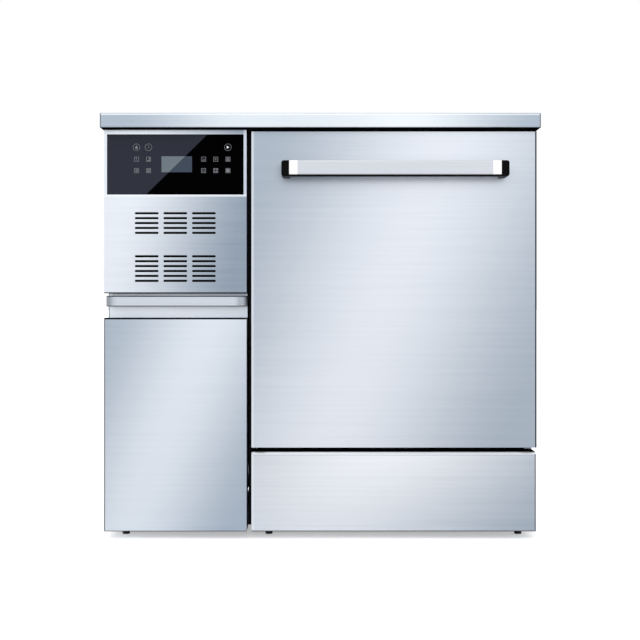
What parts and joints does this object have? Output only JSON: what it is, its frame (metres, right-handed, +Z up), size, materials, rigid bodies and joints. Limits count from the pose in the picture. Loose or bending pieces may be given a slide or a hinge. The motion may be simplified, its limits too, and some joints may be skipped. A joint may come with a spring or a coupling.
{
  "type": "laboratory glassware washer",
  "caption": "Floor-standing laboratory glassware washer with a drop-down door, sliding injector racks, spray arms, a chemicals drawer and a glass touch panel.",
  "frame": {"origin": "on the floor, under the centre of the whole box", "axes": "+X to the user's right, +Y from the fronts to the back, +Z up"},
  "size_m": [0.906, 0.728, 0.88],
  "materials": {
    "front_steel": "satin, grain running across",
    "worktop_steel": "satin, grain running across",
    "handle_steel": "fine satin with bright bends",
    "panel_steel": "satin",
    "chamber_steel": "electropolished",
    "wire_steel": "electropolished wire and bar",
    "galvanised": "galvanised sheet",
    "black_metal": "matt black",
    "core_board": "raw board",
    "black_glass": "back-printed black glass",
    "black_plastic": "moulded",
    "display_unit": "display in its board",
    "circuit_board": "solder-masked board with components",
    "seal_rubber": "moulded silicone",
    "foot_plastic": "moulded, zinc-plated stem and nut",
    "insulation_felt": "needled felt",
    "pump_plastic": "glass-filled moulding",
    "motor_metal": "cast, ribbed",
    "pipe_plastic": "moulded pipe",
    "arm_steel": "pressed and welded",
    "white_plastic": "moulded",
    "blue_plastic": "moulded",
    "canister_plastic": "blow-moulded, full of liquid",
    "blower_plastic": "moulded",
    "hinge_steel": "plated",
    "lock_plastic": "moulded"
  },
  "bodies": {
    "root": {"base_frame": "galvanised", "levelling_feet": "foot_plastic", "carcass_frame": "galvanised", "centre_partition": "black_metal", "side_panels": "panel_steel", "rear_panel": "panel_steel", "worktop": "worktop_steel", "worktop_core": "core_board", "kick_plate": "front_steel", "upper_fascia": "front_steel", "control_glass": "black_glass", "glass_carrier": "black_plastic", "display_module": "display_unit", "mid_shelf": "galvanised", "control_board": "circuit_board", "wash_chamber": "chamber_steel", "chamber_insulation": "insulation_felt", "chamber_gasket": "seal_rubber", "sump_housing": "pump_plastic", "sump_strainer": "chamber_steel", "heating_element": "wire_steel", "pump_casing": "pump_plastic", "pump_motor": "motor_metal", "drain_pump": "pump_plastic", "drain_pipe": "pipe_plastic", "riser_pipe": "pipe_plastic", "lower_arm_post": "arm_steel", "slide_channels": "wire_steel", "hinge_arms": "hinge_steel", "lock_housing": "lock_plastic", "dosing_pump_housings": "blower_plastic", "blower_casing": "blower_plastic", "filter_housing": "pipe_plastic", "inlet_valves": "blue_plastic", "cable_gland": "black_plastic"},
    "door": {"door_skin": "front_steel", "door_liner": "chamber_steel", "door_handle": "handle_steel", "door_hinge_plates": "hinge_steel", "door_hinge_pins": "hinge_steel", "door_striker": "hinge_steel"},
    "drawer": {"drawer_front": "front_steel", "drawer_back_panel": "front_steel", "drawer_handle": "handle_steel", "drawer_tray": "panel_steel", "drawer_slides_moving": "hinge_steel", "canisters": "canister_plastic", "lance_caps": "blue_plastic"},
    "upper_rack": {"upper_rack_frame": "wire_steel", "upper_rack_feed": "arm_steel"},
    "lower_rack": {"lower_rack_frame": "wire_steel", "injector_manifold": "arm_steel", "injector_nozzles": "wire_steel"},
    "upper_arm": {"upper_spray_arm": "arm_steel"},
    "lower_arm": {"lower_spray_arm": "arm_steel"},
    "pump_rotor": {"pump_impeller": "pump_plastic"},
    "blower_rotor": {"blower_wheel": "white_plastic"},
    "dosing_roller_1": {"dosing_rotor_1": "white_plastic"},
    "dosing_roller_2": {"dosing_rotor_2": "white_plastic"},
    "lock_slider": {"lock_bolt": "hinge_steel"}
  },
  "joints": [
    {"name": "door_hinge", "type": "hinge", "parent": "root", "child": "door", "pos_m": [0.1525, -0.302, 0.2015], "axis": [1, 0, 0], "range_deg": [0, 90]},
    {"name": "upper_rack_slide", "type": "slide", "parent": "root", "child": "upper_rack", "axis": [0, -1, 0], "range_m": [0, 0.4]},
    {"name": "lower_rack_slide", "type": "slide", "parent": "root", "child": "lower_rack", "axis": [0, -1, 0], "range_m": [0, 0.25]},
    {"name": "upper_arm_spin", "type": "hinge", "parent": "upper_rack", "child": "upper_arm", "pos_m": [0.1525, -0.0085, 0.502], "axis": [0, 0, 1], "continuous": true},
    {"name": "lower_arm_spin", "type": "hinge", "parent": "root", "child": "lower_arm", "pos_m": [0.1525, -0.0085, 0.264], "axis": [0, 0, 1], "continuous": true},
    {"name": "drawer_slide", "type": "slide", "parent": "root", "child": "drawer", "axis": [0, -1, 0], "range_m": [0, 0.38]},
    {"name": "pump_spin", "type": "hinge", "parent": "root", "child": "pump_rotor", "pos_m": [0.26, -0.13, 0.1305], "axis": [1, 0, 0], "continuous": true},
    {"name": "blower_spin", "type": "hinge", "parent": "root", "child": "blower_rotor", "pos_m": [-0.3, 0.205, 0.6215], "axis": [1, 0, 0], "continuous": true},
    {"name": "dosing_spin_1", "type": "hinge", "parent": "root", "child": "dosing_roller_1", "pos_m": [-0.17, 0.2465, 0.19], "axis": [1, 0, 0], "continuous": true},
    {"name": "dosing_spin_2", "type": "hinge", "parent": "root", "child": "dosing_roller_2", "pos_m": [-0.17, 0.2465, 0.3], "axis": [1, 0, 0], "continuous": true},
    {"name": "lock_bolt_slide", "type": "slide", "parent": "root", "child": "lock_slider", "axis": [1, 0, 0], "range_m": [0, 0.008], "stiffness_N_per_m": 60}
  ],
  "couplings": [
    {"joint": "upper_rack_slide", "follows": "door_hinge", "m_per_rad": 0.2546},
    {"joint": "lower_rack_slide", "follows": "door_hinge", "m_per_rad": 0.1591}
  ]
}
